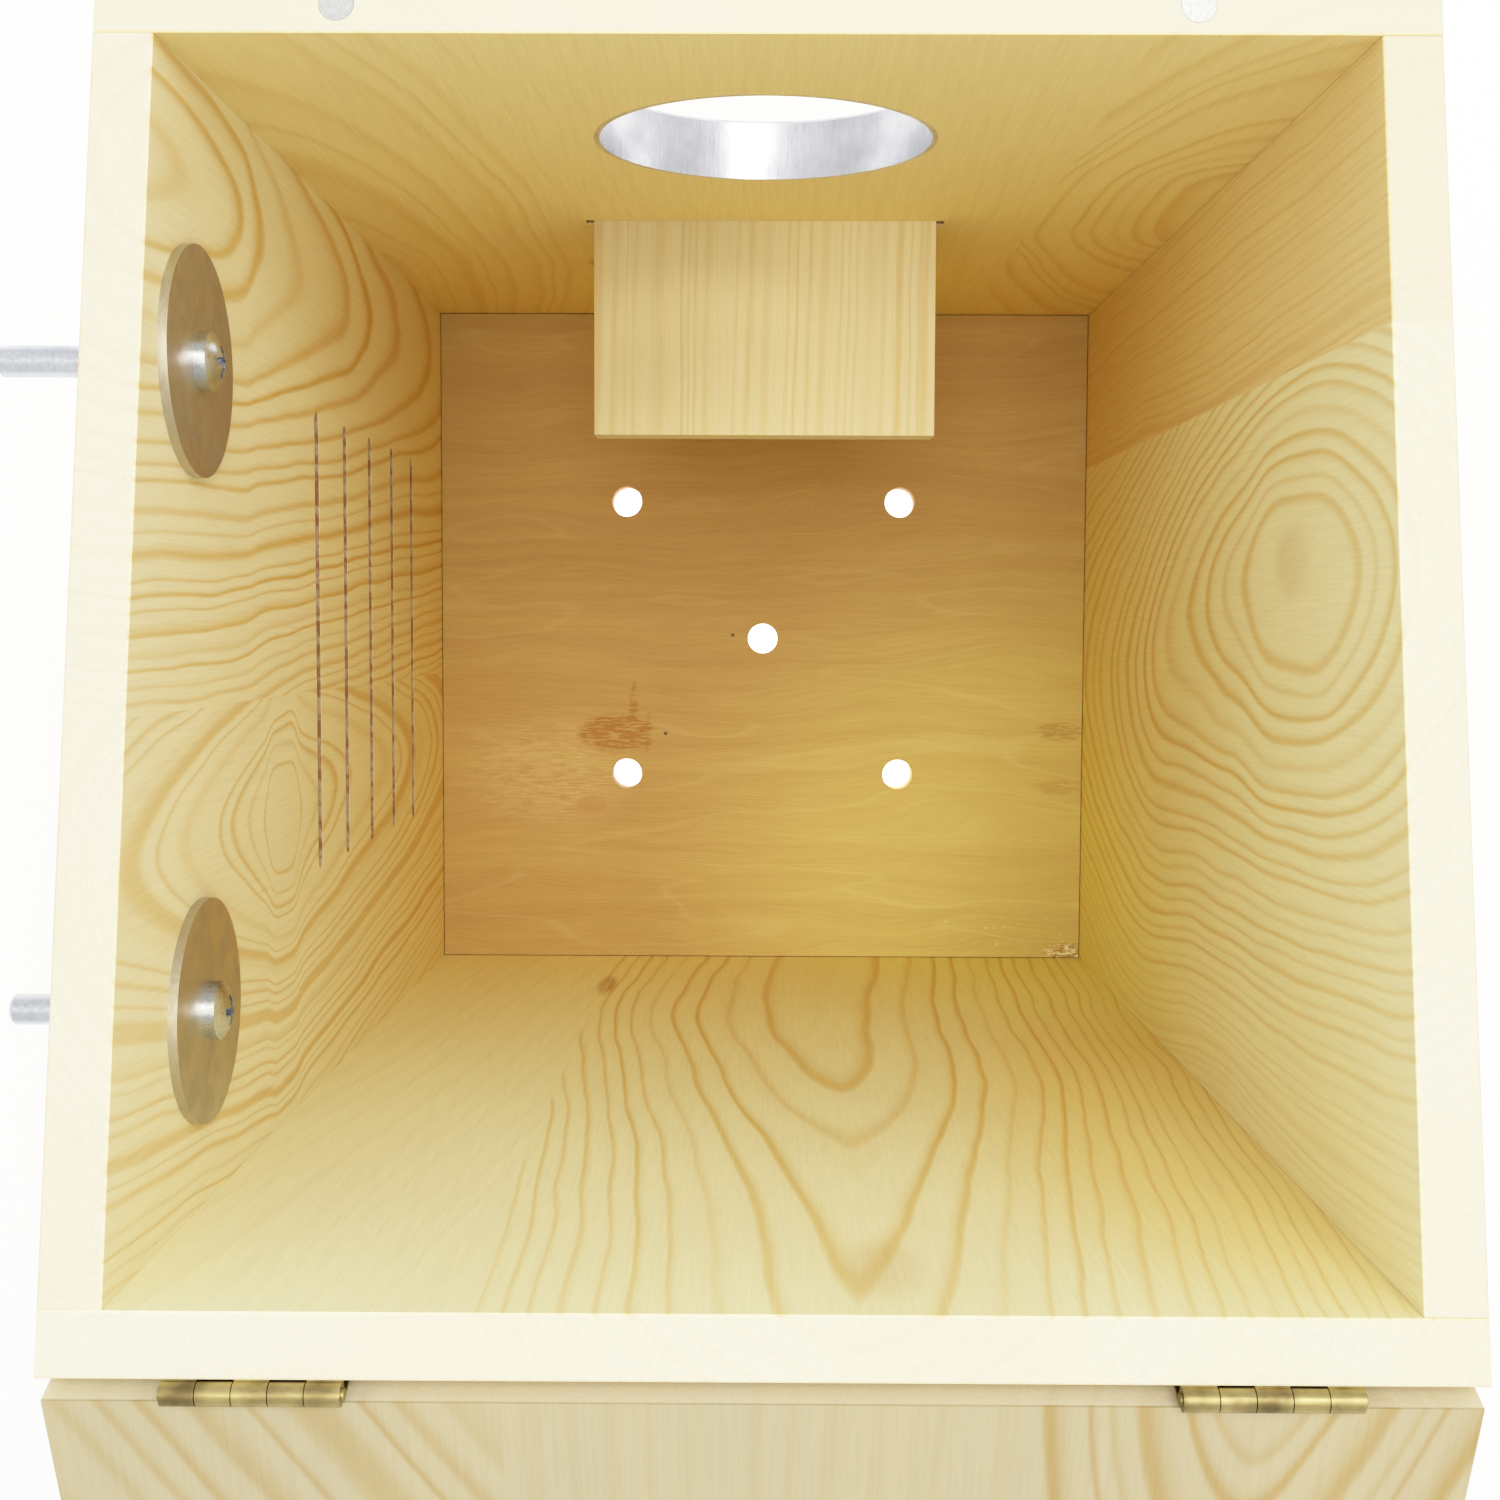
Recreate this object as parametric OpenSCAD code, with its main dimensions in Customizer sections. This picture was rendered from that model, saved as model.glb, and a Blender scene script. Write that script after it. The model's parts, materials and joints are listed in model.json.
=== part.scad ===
// Wooden nest box for small parrots: four walls, a floor with air holes and a hinged sloping lid.
// Millimetres. Origin: centre of the underside of the floor. +Z up, -Y out of the entrance,
// +Y towards the hinges, +X towards the side that bolts to a cage. The lid is drawn fully open.

/* [Box] */
// Outside width, along X
outer_w = 200; // [160:1:260]
// Outside depth, along Y
outer_d = 200; // [160:1:260]
// Height of the rear wall at its outer face
rear_h = 300; // [280:1:340]
// Height of the front wall at its outer face
front_h = 265; // [255:1:275]
// Thickness of the wall boards
board_t = 9; // [8:0.5:12]

/* [Floor] */
// Thickness of the floor panel
floor_t = 9; // [6:0.5:12]
// Gap all round between the floor panel and the walls
floor_gap = 0.2; // [0.1:0.1:0.5]
// Diameter of each air hole
vent_d = 8.5; // [4:0.5:12]
// Side of the square that the four outer air holes stand on
vent_pitch = 77; // [50:1:110]

/* [Entrance] */
// Clear diameter of the entrance
entrance_d = 60; // [40:1:70]
// Height of the entrance's axis above the base
entrance_z = 203; // [190:1:205]
// Wall thickness of the metal tube that lines the entrance
liner_t = 1; // [0.8:0.1:1.5]
// Outside diameter of the metal ring on the front
plate_d = 80; // [76:1:84]
// Thickness of the metal ring on the front
plate_t = 2.3; // [1.5:0.1:3]

/* [Inside step] */
// Width of the step, along X
step_w = 74; // [50:1:110]
// How far the step stands into the nest
step_reach = 46; // [30:1:55]
// Thickness of the step
step_t = 9; // [8:0.5:12]
// Height of the step's top above the base
step_top_z = 134; // [115:1:140]
// Depth of the step's housing in the front wall
step_housing = 4; // [3:0.5:5]

/* [Climbing grooves] */
// Number of grooves
groove_count = 5; // [1:1:6]
// Length of a groove
groove_len = 93; // [60:1:120]
// Height of a groove
groove_h = 3.6; // [2:0.2:5]
// Depth of a groove
groove_depth = 2.5; // [1:0.5:3]
// Height of the lowest groove above the base
groove_first_z = 56; // [30:1:60]
// Spacing of the grooves
groove_pitch = 26.7; // [20:0.1:28]

/* [Hanging bolts] */
// Thread diameter
bolt_d = 5; // [4:0.5:5]
// Height of both bolts above the base
bolt_z = 249; // [240:1:250]
// Place of the front bolt, along Y
bolt_front_y = -45; // [-60:1:-35]
// Place of the rear bolt, along Y
bolt_rear_y = 59; // [35:1:65]
// How far the thread stands out of the wall
stud_reach = 21.5; // [20:0.5:30]
// Diameter of the large washers
washer_d = 36.5; // [30:0.5:40]
// Thickness of the large washers
washer_t = 1.5; // [1:0.1:2]
// Width of the nut across its flats
nut_af = 8; // [8:0.5:9]
// Thickness of the nut
nut_t = 4; // [3:0.5:5]

/* [Magnets] */
// Diameter of the magnets that hold the lid shut
magnet_d = 5.2; // [4:0.1:6]
// Length of a magnet
magnet_len = 4; // [3:0.5:6]
// Distance of each magnet from the middle
magnet_x = 64; // [30:1:75]

/* [Lid] */
// Width of the lid, along X
lid_w = 199; // [180:0.5:200]
// Thickness of the lid
lid_t = 9; // [9:0.5:12]
// How far the shut lid stands out past the front wall
lid_overhang = 12; // [0:1:20]
// Angle of the open lid below the horizontal
lid_drop = 22; // [0:1:22]
// Gap between the rim and the shut lid
lid_gap = 0.3; // [0.2:0.1:0.6]

/* [Hinges] */
// Length of a hinge, along X
hinge_len = 25; // [20:1:40]
// Distance of each hinge's middle from the box's middle
hinge_x = 70; // [40:1:75]
// Distance of the hinge pin's axis from the rear wall
pivot_out = 1.95; // [1.95:0.01:2.2]
// Distance of the hinge pin's axis above the rear edge
pivot_up = 0.15; // [0.1:0.05:0.2]
// Width of a leaf from the pin's axis to its free edge
leaf_w = 6.4; // [6:0.1:6.4]
// Thickness of a leaf
leaf_t = 0.6; // [0.5:0.1:0.6]
// Diameter of the rolled knuckles
barrel_d = 3.4; // [3.2:0.1:3.6]
// Diameter of the hinge pin
pin_d = 1.8; // [1.4:0.1:2]

/* [Hidden] */

$fn = 64;
sliver = 0.01;                 // overlap that keeps a cut from leaving a skin
half_w = outer_w / 2;
half_d = outer_d / 2;
inner_half_w = half_w - board_t;
inner_half_d = half_d - board_t;
slope = (rear_h - front_h) / outer_d;
slope_angle = atan(slope);
pivot_y = half_d + pivot_out;
pivot_z = rear_h + pivot_up;
wood_fit = 0.05;               // gap round a screw or a magnet in its hole
magnet_y = -half_d + board_t / 2;
bolt_places = [bolt_front_y, bolt_rear_y];
side_signs = [-1, 1];

// Height of the sloping rim over a place along Y
function rim_z(y) = front_h + slope * (y + half_d);

// The rim's plane, seen from the pin: how far the shut lid's underside stands above the axis
lid_under = (rim_z(pivot_y) - pivot_z) * cos(slope_angle) + lid_gap;
lid_len = (outer_d + lid_overhang) / cos(slope_angle);
// Distance along the lid from the pin to the rim magnets
lid_magnet_reach = (pivot_y - magnet_y) * cos(slope_angle) + (pivot_z - rim_z(magnet_y)) * sin(slope_angle);

// ---- helpers ---------------------------------------------------------------------------

// Part of the box's wall stock between two X and two Y limits, cut off under the sloping rim
module wall_stock(x_from, x_to, y_from, y_to) {
    translate([x_from, 0, 0])
        rotate([90, 0, 90])
            linear_extrude(x_to - x_from)
                polygon([[y_from, 0], [y_to, 0], [y_to, rim_z(y_to)], [y_from, rim_z(y_from)]]);
}

// A frame whose Y runs along the open lid, away from the pin, and whose Z leaves its underside
module in_lid_frame() {
    translate([0, pivot_y, pivot_z])
        rotate([-lid_drop, 0, 0])
            children();
}

// Turns something that points along -Z until it points along +Y, into the front wall
module into_front() {
    rotate([90, 0, 0]) children();
}

// Turns something that points along -Z until it points along -Y, into the rear wall
module into_rear() {
    rotate([-90, 0, 0]) children();
}

// Countersunk wood screw, its head's top at the origin, pointing along -Z
module screw_body(length, shank_r, head_r, gap = 0) {
    cone_h = head_r - shank_r;
    tip_h = 2 * shank_r;
    rotate_extrude()
        polygon([
            [0, gap], [head_r + gap, gap], [head_r + gap, 0], [shank_r + gap, -cone_h],
            [shank_r + gap, tip_h - length], [0, -length - gap]
        ]);
}

// Cross recess for a driver
module cross_recess(width, depth) {
    for (turn = [0, 90])
        rotate([0, 0, turn])
            cube([width, width / 4, 2 * depth], center = true);
}

module wood_screw(length, shank_r, head_r) {
    difference() {
        screw_body(length, shank_r, head_r);
        cross_recess(1.1 * head_r, 0.3 * head_r);
    }
}

// Thin nail with a small flat head just proud of the wood, pointing along -Z
module nail(length) {
    head_r = 1.2;
    head_t = 0.6;
    proud = 0.15;
    shank_r = 0.65;
    translate([0, 0, proud - head_t]) cylinder(r = head_r, h = head_t);
    translate([0, 0, -length]) cylinder(r = shank_r, h = length - head_t + proud + sliver);
}

// ---- box -------------------------------------------------------------------------------

step_screw_len = 25;
step_screw_x = 22;
plate_screw_len = 9;
plate_screw_pcd = (plate_d + entrance_d + 2 * liner_t) / 2;
plate_screw_angles = [45, 135, 225, 315];

module at_step_screws() {
    for (side = side_signs)
        translate([side * step_screw_x, -half_d, step_top_z - step_t / 2])
            into_front()
                children();
}

module at_plate_screws() {
    translate([0, -half_d - plate_t, entrance_z])
        into_front()
            for (a = plate_screw_angles)
                translate([plate_screw_pcd / 2 * cos(a), plate_screw_pcd / 2 * sin(a), 0])
                    children();
}

module at_rim_magnets() {
    for (side = side_signs)
        translate([side * magnet_x, magnet_y, rim_z(magnet_y)])
            rotate([slope_angle, 0, 0])
                children();
}

// The pocket that the step is glued into, with a relief at each upper corner
module step_housing_cut() {
    glue = 0.1;
    relief_w = 1.8;
    relief_h = 4.3;
    depth = step_housing + sliver;
    y_from = -inner_half_d - step_housing;
    translate([-step_w / 2 - glue, y_from, step_top_z - step_t - glue])
        cube([step_w + 2 * glue, depth, step_t + 2 * glue]);
    translate([-step_w / 2 - relief_w, y_from, step_top_z - relief_h])
        cube([step_w + 2 * relief_w, depth, relief_h]);
}

module front_wall() {
    color("burlywood")
        difference() {
            wall_stock(-half_w, half_w, -half_d, -inner_half_d);
            translate([0, -half_d - sliver, entrance_z])
                rotate([-90, 0, 0])
                    cylinder(d = entrance_d + 2 * liner_t, h = board_t + 2 * sliver);
            step_housing_cut();
            at_step_screws() screw_body(step_screw_len, step_screw_r, step_screw_head_r, wood_fit);
            at_plate_screws() screw_body(plate_screw_len, plate_screw_r, plate_screw_head_r, wood_fit);
            at_rim_magnets()
                translate([0, 0, -magnet_len - wood_fit])
                    cylinder(d = magnet_d + 2 * wood_fit, h = magnet_len + 1);
        }
}

module rear_wall() {
    color("burlywood")
        difference() {
            wall_stock(-half_w, half_w, inner_half_d, half_d);
            at_hinge_wall_screws() screw_body(hinge_screw_len, hinge_screw_r, hinge_screw_head_r, wood_fit);
        }
}

// One climbing groove, a slot with round ends, cut into the inner face at X = 0
module groove() {
    straight = groove_len - groove_h;
    translate([-sliver, -straight / 2, -groove_h / 2])
        cube([groove_depth + sliver, straight, groove_h]);
    for (side = side_signs)
        translate([-sliver, side * straight / 2, 0])
            rotate([0, 90, 0])
                cylinder(d = groove_h, h = groove_depth + sliver);
}

module grooved_side_wall() {
    bolt_hole_d = bolt_d + 0.4;
    color("burlywood")
        difference() {
            wall_stock(inner_half_w, half_w, -inner_half_d, inner_half_d);
            for (i = [0 : groove_count - 1])
                translate([inner_half_w, 0, groove_first_z + i * groove_pitch])
                    groove();
            for (y = bolt_places)
                translate([inner_half_w - sliver, y, bolt_z])
                    rotate([0, 90, 0])
                        cylinder(d = bolt_hole_d, h = board_t + 2 * sliver);
        }
}

module plain_side_wall() {
    color("burlywood")
        wall_stock(-half_w, -inner_half_w, -inner_half_d, inner_half_d);
}

module floor_panel() {
    size_x = 2 * (inner_half_w - floor_gap);
    size_y = 2 * (inner_half_d - floor_gap);
    color("peru")
        difference() {
            translate([-size_x / 2, -size_y / 2, 0])
                cube([size_x, size_y, floor_t]);
            for (place = [[0, 0], [-1, -1], [-1, 1], [1, -1], [1, 1]])
                translate([place.x * vent_pitch / 2, place.y * vent_pitch / 2, -sliver])
                    cylinder(d = vent_d, h = floor_t + 2 * sliver);
        }
}

// Nails through the front and rear walls into the ends of the side walls
module wall_nails() {
    nail_len = 25;
    nail_count = 4;
    low_z = 30;
    high_z = front_h - 25;
    color("silver")
        for (side = side_signs, i = [0 : nail_count - 1]) {
            x = side * (half_w - board_t / 2);
            z = low_z + i * (high_z - low_z) / (nail_count - 1);
            translate([x, -half_d, z]) into_front() nail(nail_len);
            translate([x, half_d, z]) into_rear() nail(nail_len);
        }
}

// Nails through the foot of each wall into the floor panel's edges
module floor_nails() {
    nail_len = 22;
    spread = 60;
    color("silver")
        for (turn = [0, 90, 180, 270], along = [-1, 0, 1])
            rotate([0, 0, turn])
                translate([along * spread, -(turn % 180 == 0 ? half_d : half_w), floor_t / 2])
                    into_front()
                        nail(nail_len);
}

// ---- step and entrance -----------------------------------------------------------------

step_screw_r = 1.5;
step_screw_head_r = 2.9;
plate_screw_r = 1.1;
plate_screw_head_r = 2.1;

module inside_step() {
    color("wheat")
        difference() {
            translate([-step_w / 2, -inner_half_d - step_housing, step_top_z - step_t])
                cube([step_w, step_housing + step_reach, step_t]);
            at_step_screws() screw_body(step_screw_len, step_screw_r, step_screw_head_r, wood_fit);
        }
}

module step_screws() {
    color("silver")
        at_step_screws() wood_screw(step_screw_len, step_screw_r, step_screw_head_r);
}

module entrance_liner() {
    color("lightgray")
        translate([0, -half_d, entrance_z])
            rotate([-90, 0, 0])
                difference() {
                    cylinder(d = entrance_d + 2 * liner_t, h = board_t);
                    translate([0, 0, -sliver]) cylinder(d = entrance_d, h = board_t + 2 * sliver);
                }
}

// Ring on the front face, its hole a little wider than the liner's and its edges broken
module entrance_plate() {
    inner_r = entrance_d / 2 + 0.3;
    outer_r = plate_d / 2;
    break_edge = 0.5;
    color("lightgray")
        difference() {
            translate([0, -half_d, entrance_z])
                rotate([90, 0, 0])
                    rotate_extrude()
                        polygon([
                            [inner_r, 0], [outer_r, 0], [outer_r, plate_t - break_edge],
                            [outer_r - break_edge, plate_t], [inner_r + break_edge, plate_t],
                            [inner_r, plate_t - break_edge]
                        ]);
            at_plate_screws() screw_body(plate_screw_len, plate_screw_r, plate_screw_head_r, wood_fit);
        }
}

module plate_screws() {
    color("silver")
        at_plate_screws() wood_screw(plate_screw_len, plate_screw_r, plate_screw_head_r);
}

module rim_magnets() {
    color("gainsboro")
        at_rim_magnets()
            translate([0, 0, -magnet_len]) cylinder(d = magnet_d, h = magnet_len);
}

// ---- hanging bolts ---------------------------------------------------------------------

clamp_gap = 0.1;               // play between the wall, the outer washer and the nut
clamp_washer_x = half_w + clamp_gap;
clamp_nut_x = clamp_washer_x + washer_t + clamp_gap;

// Cross-headed bolt with a domed head, pushed through from the inside, pointing along +Z.
// A narrow relief past the nut parts the free thread from the clamped one.
module hanging_bolt() {
    head_r = 4.75;
    head_h = 3.6;
    dome_r = 7.2;
    tip = 0.5;
    stem = washer_t + board_t + stud_reach;
    relief_from = washer_t + board_t + 2 * clamp_gap + washer_t + nut_t + 0.2;
    relief_w = 0.8;
    relief_depth = 0.3;
    difference() {
        intersection() {
            translate([0, 0, -head_h]) cylinder(r = head_r, h = head_h);
            translate([0, 0, dome_r - head_h]) sphere(r = dome_r);
        }
        translate([0, 0, -head_h]) cross_recess(5, 1.8);
    }
    translate([0, 0, -sliver]) cylinder(d = bolt_d, h = relief_from + sliver);
    translate([0, 0, relief_from - sliver])
        cylinder(d = bolt_d - 2 * relief_depth, h = relief_w + 2 * sliver);
    translate([0, 0, relief_from + relief_w])
        cylinder(d = bolt_d, h = stem - tip - relief_from - relief_w);
    translate([0, 0, stem - tip]) cylinder(d1 = bolt_d, d2 = bolt_d - 2 * tip, h = tip);
}

// Large flat washer between Z = 0 and its thickness
module large_washer() {
    hole_d = bolt_d + 0.3;
    difference() {
        cylinder(d = washer_d, h = washer_t, $fn = 96);
        translate([0, 0, -sliver]) cylinder(d = hole_d, h = washer_t + 2 * sliver);
    }
}

// Hexagonal nut with its corners turned off on both faces
module hex_nut() {
    corner_r = nut_af / 2 / cos(30);
    running_gap = 0.05;
    chamfer = corner_r - nut_af / 2;
    difference() {
        intersection() {
            cylinder(r = corner_r, h = nut_t, $fn = 6);
            rotate_extrude()
                polygon([
                    [0, 0], [nut_af / 2, 0], [corner_r, chamfer], [corner_r, nut_t - chamfer],
                    [nut_af / 2, nut_t], [0, nut_t]
                ]);
        }
        translate([0, 0, -sliver]) cylinder(r = bolt_d / 2 + running_gap, h = nut_t + 2 * sliver);
    }
}

module on_bolt_axis(x, y) {
    translate([x, y, bolt_z])
        rotate([0, 90, 0])
            children();
}

module hanging_bolts() {
    color("silver")
        for (y = bolt_places)
            on_bolt_axis(inner_half_w - washer_t, y) hanging_bolt();
}

module inner_washers() {
    color("silver")
        for (y = bolt_places)
            on_bolt_axis(inner_half_w - washer_t, y) large_washer();
}

module clamp_washer(y) {
    color("silver") on_bolt_axis(clamp_washer_x, y) large_washer();
}

module clamp_nut(y) {
    color("darkgray") on_bolt_axis(clamp_nut_x, y) hex_nut();
}

module front_clamp_washer() { clamp_washer(bolt_front_y); }
module rear_clamp_washer() { clamp_washer(bolt_rear_y); }
module front_clamp_nut() { clamp_nut(bolt_front_y); }
module rear_clamp_nut() { clamp_nut(bolt_rear_y); }

// ---- hinges ----------------------------------------------------------------------------

knuckle_count = 5;
knuckle_pitch = hinge_len / knuckle_count;
knuckle_gap = 0.15;
knuckle_clear = 0.4;           // room round the other leaf's knuckles
leaf_top = 0.15;               // how far below the pin's axis a leaf's plate meets its knuckles
hinge_screw_len = 8;
hinge_screw_r = 0.95;
hinge_screw_head_r = 1.75;
hinge_screw_reach = 4.15;      // from the pin's axis to the screws
hinge_screw_spread = 15;

// The screws' places on a leaf that lies in the plane Y = 0, its outer face towards +Y,
// with the pin's axis at Z = 0 and the screws pointing along -Z of the child
module at_leaf_screws(reach_sign) {
    for (hinge = side_signs, screw = side_signs)
        translate([hinge * hinge_x + screw * hinge_screw_spread / 2, 0, reach_sign * hinge_screw_reach])
            children();
}

module at_hinge_wall_screws() {
    translate([0, half_d + leaf_t, pivot_z])
        at_leaf_screws(-1)
            into_rear()
                children();
}

module at_hinge_lid_screws() {
    in_lid_frame()
        translate([0, pivot_out - leaf_t, 0])
            at_leaf_screws(-1)
                into_front()
                    children();
}

// The knuckles with the given numbers, along X round the pin's axis
module knuckles(numbers, r, gap) {
    for (i = numbers)
        translate([-hinge_len / 2 + i * knuckle_pitch + gap / 2, 0, 0])
            rotate([0, 90, 0])
                cylinder(r = r, h = knuckle_pitch - gap);
}

// A leaf hanging from the pin's axis at the origin. Its back is at Y = back_y and it reaches
// down to -leaf_w. own and other number the knuckles, and pin_gap is the room round the pin.
module hinge_leaf(back_y, own, other, pin_gap) {
    plate_from = back_y < 0 ? back_y : back_y - leaf_t;
    difference() {
        union() {
            translate([-hinge_len / 2, plate_from, -leaf_w])
                cube([hinge_len, leaf_t, leaf_w - leaf_top]);
            knuckles(own, barrel_d / 2, knuckle_gap);
        }
        knuckles(other, barrel_d / 2 + knuckle_clear, -knuckle_gap);
        translate([-hinge_len / 2 - sliver, 0, 0])
            rotate([0, 90, 0])
                cylinder(r = pin_d / 2 + pin_gap, h = hinge_len + 2 * sliver);
    }
}

module hinge_wall_leaf(side) {
    color("goldenrod")
        difference() {
            translate([side * hinge_x, pivot_y, pivot_z])
                hinge_leaf(-pivot_out, [0, 2, 4], [1, 3], 0.02);
            at_hinge_wall_screws() screw_body(hinge_screw_len, hinge_screw_r, hinge_screw_head_r, wood_fit);
        }
}

module hinge_lid_leaf(side) {
    color("goldenrod")
        difference() {
            in_lid_frame()
                translate([side * hinge_x, 0, 0])
                    hinge_leaf(pivot_out, [1, 3], [0, 2, 4], 0.05);
            at_hinge_lid_screws() screw_body(hinge_screw_len, hinge_screw_r, hinge_screw_head_r, wood_fit);
        }
}

module hinge_pin(side) {
    end_proud = 0.3;
    pin_len = hinge_len + 2 * end_proud;
    color("darkgoldenrod")
        translate([side * hinge_x - pin_len / 2, pivot_y, pivot_z])
            rotate([0, 90, 0])
                cylinder(d = pin_d, h = pin_len);
}

module left_hinge_wall_leaf() { hinge_wall_leaf(1); }
module right_hinge_wall_leaf() { hinge_wall_leaf(-1); }
module left_hinge_lid_leaf() { hinge_lid_leaf(1); }
module right_hinge_lid_leaf() { hinge_lid_leaf(-1); }
module left_hinge_pin() { hinge_pin(1); }
module right_hinge_pin() { hinge_pin(-1); }

module hinge_wall_screws() {
    color("gold")
        at_hinge_wall_screws() wood_screw(hinge_screw_len, hinge_screw_r, hinge_screw_head_r);
}

module hinge_lid_screws() {
    color("gold")
        at_hinge_lid_screws() wood_screw(hinge_screw_len, hinge_screw_r, hinge_screw_head_r);
}

// ---- lid -------------------------------------------------------------------------------

module at_lid_magnets() {
    in_lid_frame()
        for (side = side_signs)
            translate([side * magnet_x, lid_magnet_reach, -lid_under])
                children();
}

module lid_board() {
    color("burlywood")
        difference() {
            in_lid_frame()
                translate([-lid_w / 2, pivot_out, -lid_under - lid_t])
                    cube([lid_w, lid_len, lid_t]);
            at_hinge_lid_screws() screw_body(hinge_screw_len, hinge_screw_r, hinge_screw_head_r, wood_fit);
            at_lid_magnets()
                translate([0, 0, -magnet_len - wood_fit])
                    cylinder(d = magnet_d + 2 * wood_fit, h = magnet_len + 1);
        }
}

module lid_magnets() {
    color("gainsboro")
        at_lid_magnets()
            translate([0, 0, -magnet_len]) cylinder(d = magnet_d, h = magnet_len);
}

front_wall();
rear_wall();
grooved_side_wall();
plain_side_wall();
floor_panel();
wall_nails();
floor_nails();
inside_step();
step_screws();
entrance_liner();
entrance_plate();
plate_screws();
rim_magnets();
hanging_bolts();
inner_washers();
front_clamp_washer();
rear_clamp_washer();
front_clamp_nut();
rear_clamp_nut();
left_hinge_wall_leaf();
right_hinge_wall_leaf();
left_hinge_pin();
right_hinge_pin();
hinge_wall_screws();
lid_board();
lid_magnets();
left_hinge_lid_leaf();
right_hinge_lid_leaf();
hinge_lid_screws();
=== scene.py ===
import json
import math

import bpy
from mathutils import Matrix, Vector


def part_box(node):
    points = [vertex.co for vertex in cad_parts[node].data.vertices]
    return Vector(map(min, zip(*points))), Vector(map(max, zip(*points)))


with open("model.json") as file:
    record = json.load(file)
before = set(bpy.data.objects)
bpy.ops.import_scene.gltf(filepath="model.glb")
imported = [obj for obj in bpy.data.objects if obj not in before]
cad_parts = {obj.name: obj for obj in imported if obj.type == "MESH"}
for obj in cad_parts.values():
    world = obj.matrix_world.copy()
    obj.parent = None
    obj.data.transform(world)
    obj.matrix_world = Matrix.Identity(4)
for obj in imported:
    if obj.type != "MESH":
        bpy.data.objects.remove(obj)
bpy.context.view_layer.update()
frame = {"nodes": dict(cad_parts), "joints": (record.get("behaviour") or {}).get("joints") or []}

MM = 0.001
NODES = frame["nodes"]
HINGE = next(j for j in frame["joints"] if j["name"] == "lid_hinge")
FLOOR_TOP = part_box("floor_panel")[1].z / MM
INNER = -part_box("plain_side_wall")[1].x / MM
GROOVE_FIELD = ((-47.0, 50.0), (47.0, 170.0))    # lowest and highest y, z of the grooves
LID_SINK = 0.49      # the lid's inner face lies this far below the hinge's axis
LID_DROP = 22.0      # degrees below the horizontal at which the lid is stored open


# ---- node trees ------------------------------------------------------------------------

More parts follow.
